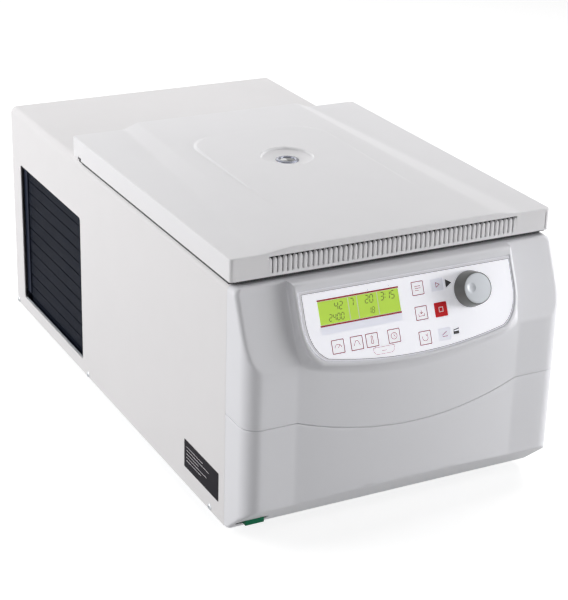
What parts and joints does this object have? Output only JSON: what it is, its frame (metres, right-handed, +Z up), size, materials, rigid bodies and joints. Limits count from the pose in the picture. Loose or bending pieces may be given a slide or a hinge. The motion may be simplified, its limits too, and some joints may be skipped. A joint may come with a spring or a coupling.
{
  "type": "refrigerated bench centrifuge",
  "caption": "Low refrigerated bench centrifuge: hinged lid over a cooled rotor chamber, sloped key panel with a green display and a knob, side condenser vent.",
  "frame": {"origin": "on the bench surface, under the middle of the whole machine's box", "axes": "+X to the right of someone at the controls, +Y to the back, +Z up"},
  "size_m": [0.38, 0.7254, 0.3228],
  "materials": {
    "zinc_plate": "zinc plated, dull",
    "foot_rubber": "matt",
    "white_paint": "fine textured powder coat, satin",
    "black_plastic": "matt",
    "dark_plastic": "satin",
    "grey_moulding": "fine grained, satin",
    "white_membrane": "smooth film, satin",
    "lilac_membrane": "smooth film, satin",
    "red_membrane": "smooth film, satin",
    "display_window": "clear gloss window over a green display",
    "knob_face": "satin",
    "circuit_board": "green lacquer",
    "lid_moulding": "fine grained, satin",
    "chamber_steel": "brushed stainless",
    "dark_window": "gloss",
    "bright_steel": "ground",
    "foam": "rigid open foam",
    "seal_rubber": "smooth",
    "copper_tube": "drawn copper",
    "rotor_aluminium": "grey anodised",
    "green_plastic": "satin",
    "navy_fins": "dark blue enamel",
    "black_enamel": "gloss enamel"
  },
  "bodies": {
    "housing": {"base_tray": "zinc_plate", "foot_front_left": "foot_rubber", "foot_front_right": "foot_rubber", "foot_rear_left": "foot_rubber", "foot_rear_right": "foot_rubber", "housing_cover": "white_paint", "rear_panel": "white_paint", "mains_inlet": "black_plastic", "mains_switch": "black_plastic", "front_housing": "grey_moulding", "lower_front_panel": "grey_moulding", "control_membrane": "white_membrane", "display": "display_window", "control_board": "circuit_board", "hinge_bracket_left": "zinc_plate", "hinge_bracket_right": "zinc_plate", "hinge_pin_left": "bright_steel", "hinge_pin_right": "bright_steel", "hinge_spring_left": "bright_steel", "hinge_spring_right": "bright_steel", "chamber_bowl": "chamber_steel", "chamber_insulation": "foam", "chamber_gasket": "seal_rubber", "evaporator_coil": "copper_tube", "drive_motor": "zinc_plate", "motor_mount_1": "foot_rubber", "motor_mount_2": "foot_rubber", "motor_mount_3": "foot_rubber", "lid_lock_body": "dark_plastic", "condenser": "navy_fins", "fan_shroud": "zinc_plate", "compressor": "black_enamel", "power_board": "circuit_board", "discharge_pipe": "copper_tube"},
    "lid": {"lid_shell": "lid_moulding", "lid_liner": "chamber_steel", "lid_view_port": "dark_window", "lid_striker_left": "bright_steel", "lid_striker_right": "bright_steel", "hinge_arm_left": "zinc_plate", "hinge_arm_right": "zinc_plate"},
    "rotor_drive": {"drive_shaft": "bright_steel", "rotor": "rotor_aluminium", "rotor_lid": "dark_plastic"},
    "cooling_fan": {"condenser_fan": "black_plastic"},
    "knob": {"selector_knob": "dark_plastic", "knob_cap": "knob_face"},
    "lock_bar": {"lid_lock_bar": "bright_steel"},
    "release_tab": {"emergency_release_tab": "green_plastic"},
    "rocker": {"switch_rocker": "dark_plastic"},
    "program_key": {"key_program": "white_membrane"},
    "start_key": {"key_start": "lilac_membrane"},
    "store_key": {"key_store": "white_membrane"},
    "stop_key": {"key_stop": "red_membrane"},
    "short_spin_key": {"key_short_spin": "white_membrane"},
    "lid_open_key": {"key_lid_open": "lilac_membrane"},
    "speed_key": {"key_speed": "white_membrane"},
    "acceleration_key": {"key_acceleration": "white_membrane"},
    "temperature_key": {"key_temperature": "white_membrane"},
    "time_key": {"key_time": "white_membrane"}
  },
  "joints": [
    {"name": "lid_hinge", "type": "hinge", "parent": "housing", "child": "lid", "pos_m": [0, 0.1217, 0.3], "axis": [-1, 0, 0], "range_deg": [0, 75]},
    {"name": "rotor_spin", "type": "hinge", "parent": "housing", "child": "rotor_drive", "pos_m": [0, -0.0673, 0.15], "axis": [0, 0, 1], "continuous": true},
    {"name": "fan_spin", "type": "hinge", "parent": "housing", "child": "cooling_fan", "pos_m": [-0.12, 0.2237, 0.121], "axis": [1, 0, 0], "continuous": true},
    {"name": "knob_turn", "type": "hinge", "parent": "housing", "child": "knob", "pos_m": [0.0719, -0.33832, 0.25273], "axis": [0, -0.9164, 0.4003], "continuous": true},
    {"name": "program_key_press", "type": "slide", "parent": "housing", "child": "program_key", "axis": [0, 0.9164, -0.4003], "range_m": [0, 0.0005], "stiffness_N_per_m": 2500},
    {"name": "start_key_press", "type": "slide", "parent": "housing", "child": "start_key", "axis": [0, 0.9164, -0.4003], "range_m": [0, 0.0005], "stiffness_N_per_m": 2500},
    {"name": "store_key_press", "type": "slide", "parent": "housing", "child": "store_key", "axis": [0, 0.9164, -0.4003], "range_m": [0, 0.0005], "stiffness_N_per_m": 2500},
    {"name": "stop_key_press", "type": "slide", "parent": "housing", "child": "stop_key", "axis": [0, 0.9164, -0.4003], "range_m": [0, 0.0005], "stiffness_N_per_m": 2500},
    {"name": "short_spin_key_press", "type": "slide", "parent": "housing", "child": "short_spin_key", "axis": [0, 0.9164, -0.4003], "range_m": [0, 0.0005], "stiffness_N_per_m": 2500},
    {"name": "lid_open_key_press", "type": "slide", "parent": "housing", "child": "lid_open_key", "axis": [0, 0.9164, -0.4003], "range_m": [0, 0.0005], "stiffness_N_per_m": 2500},
    {"name": "speed_key_press", "type": "slide", "parent": "housing", "child": "speed_key", "axis": [0, 0.9164, -0.4003], "range_m": [0, 0.0005], "stiffness_N_per_m": 2500},
    {"name": "acceleration_key_press", "type": "slide", "parent": "housing", "child": "acceleration_key", "axis": [0, 0.9164, -0.4003], "range_m": [0, 0.0005], "stiffness_N_per_m": 2500},
    {"name": "temperature_key_press", "type": "slide", "parent": "housing", "child": "temperature_key", "axis": [0, 0.9164, -0.4003], "range_m": [0, 0.0005], "stiffness_N_per_m": 2500},
    {"name": "time_key_press", "type": "slide", "parent": "housing", "child": "time_key", "axis": [0, 0.9164, -0.4003], "range_m": [0, 0.0005], "stiffness_N_per_m": 2500},
    {"name": "lock_bar_slide", "type": "slide", "parent": "housing", "child": "lock_bar", "axis": [0, 1, 0], "range_m": [0, 0.009], "stiffness_N_per_m": 120},
    {"name": "release_tab_pull", "type": "slide", "parent": "housing", "child": "release_tab", "axis": [0, -1, 0], "range_m": [0, 0.015], "stiffness_N_per_m": 80},
    {"name": "mains_switch_rock", "type": "hinge", "parent": "housing", "child": "rocker", "pos_m": [0.074, 0.356, 0.07], "axis": [1, 0, 0], "range_deg": [-8, 8]}
  ]
}
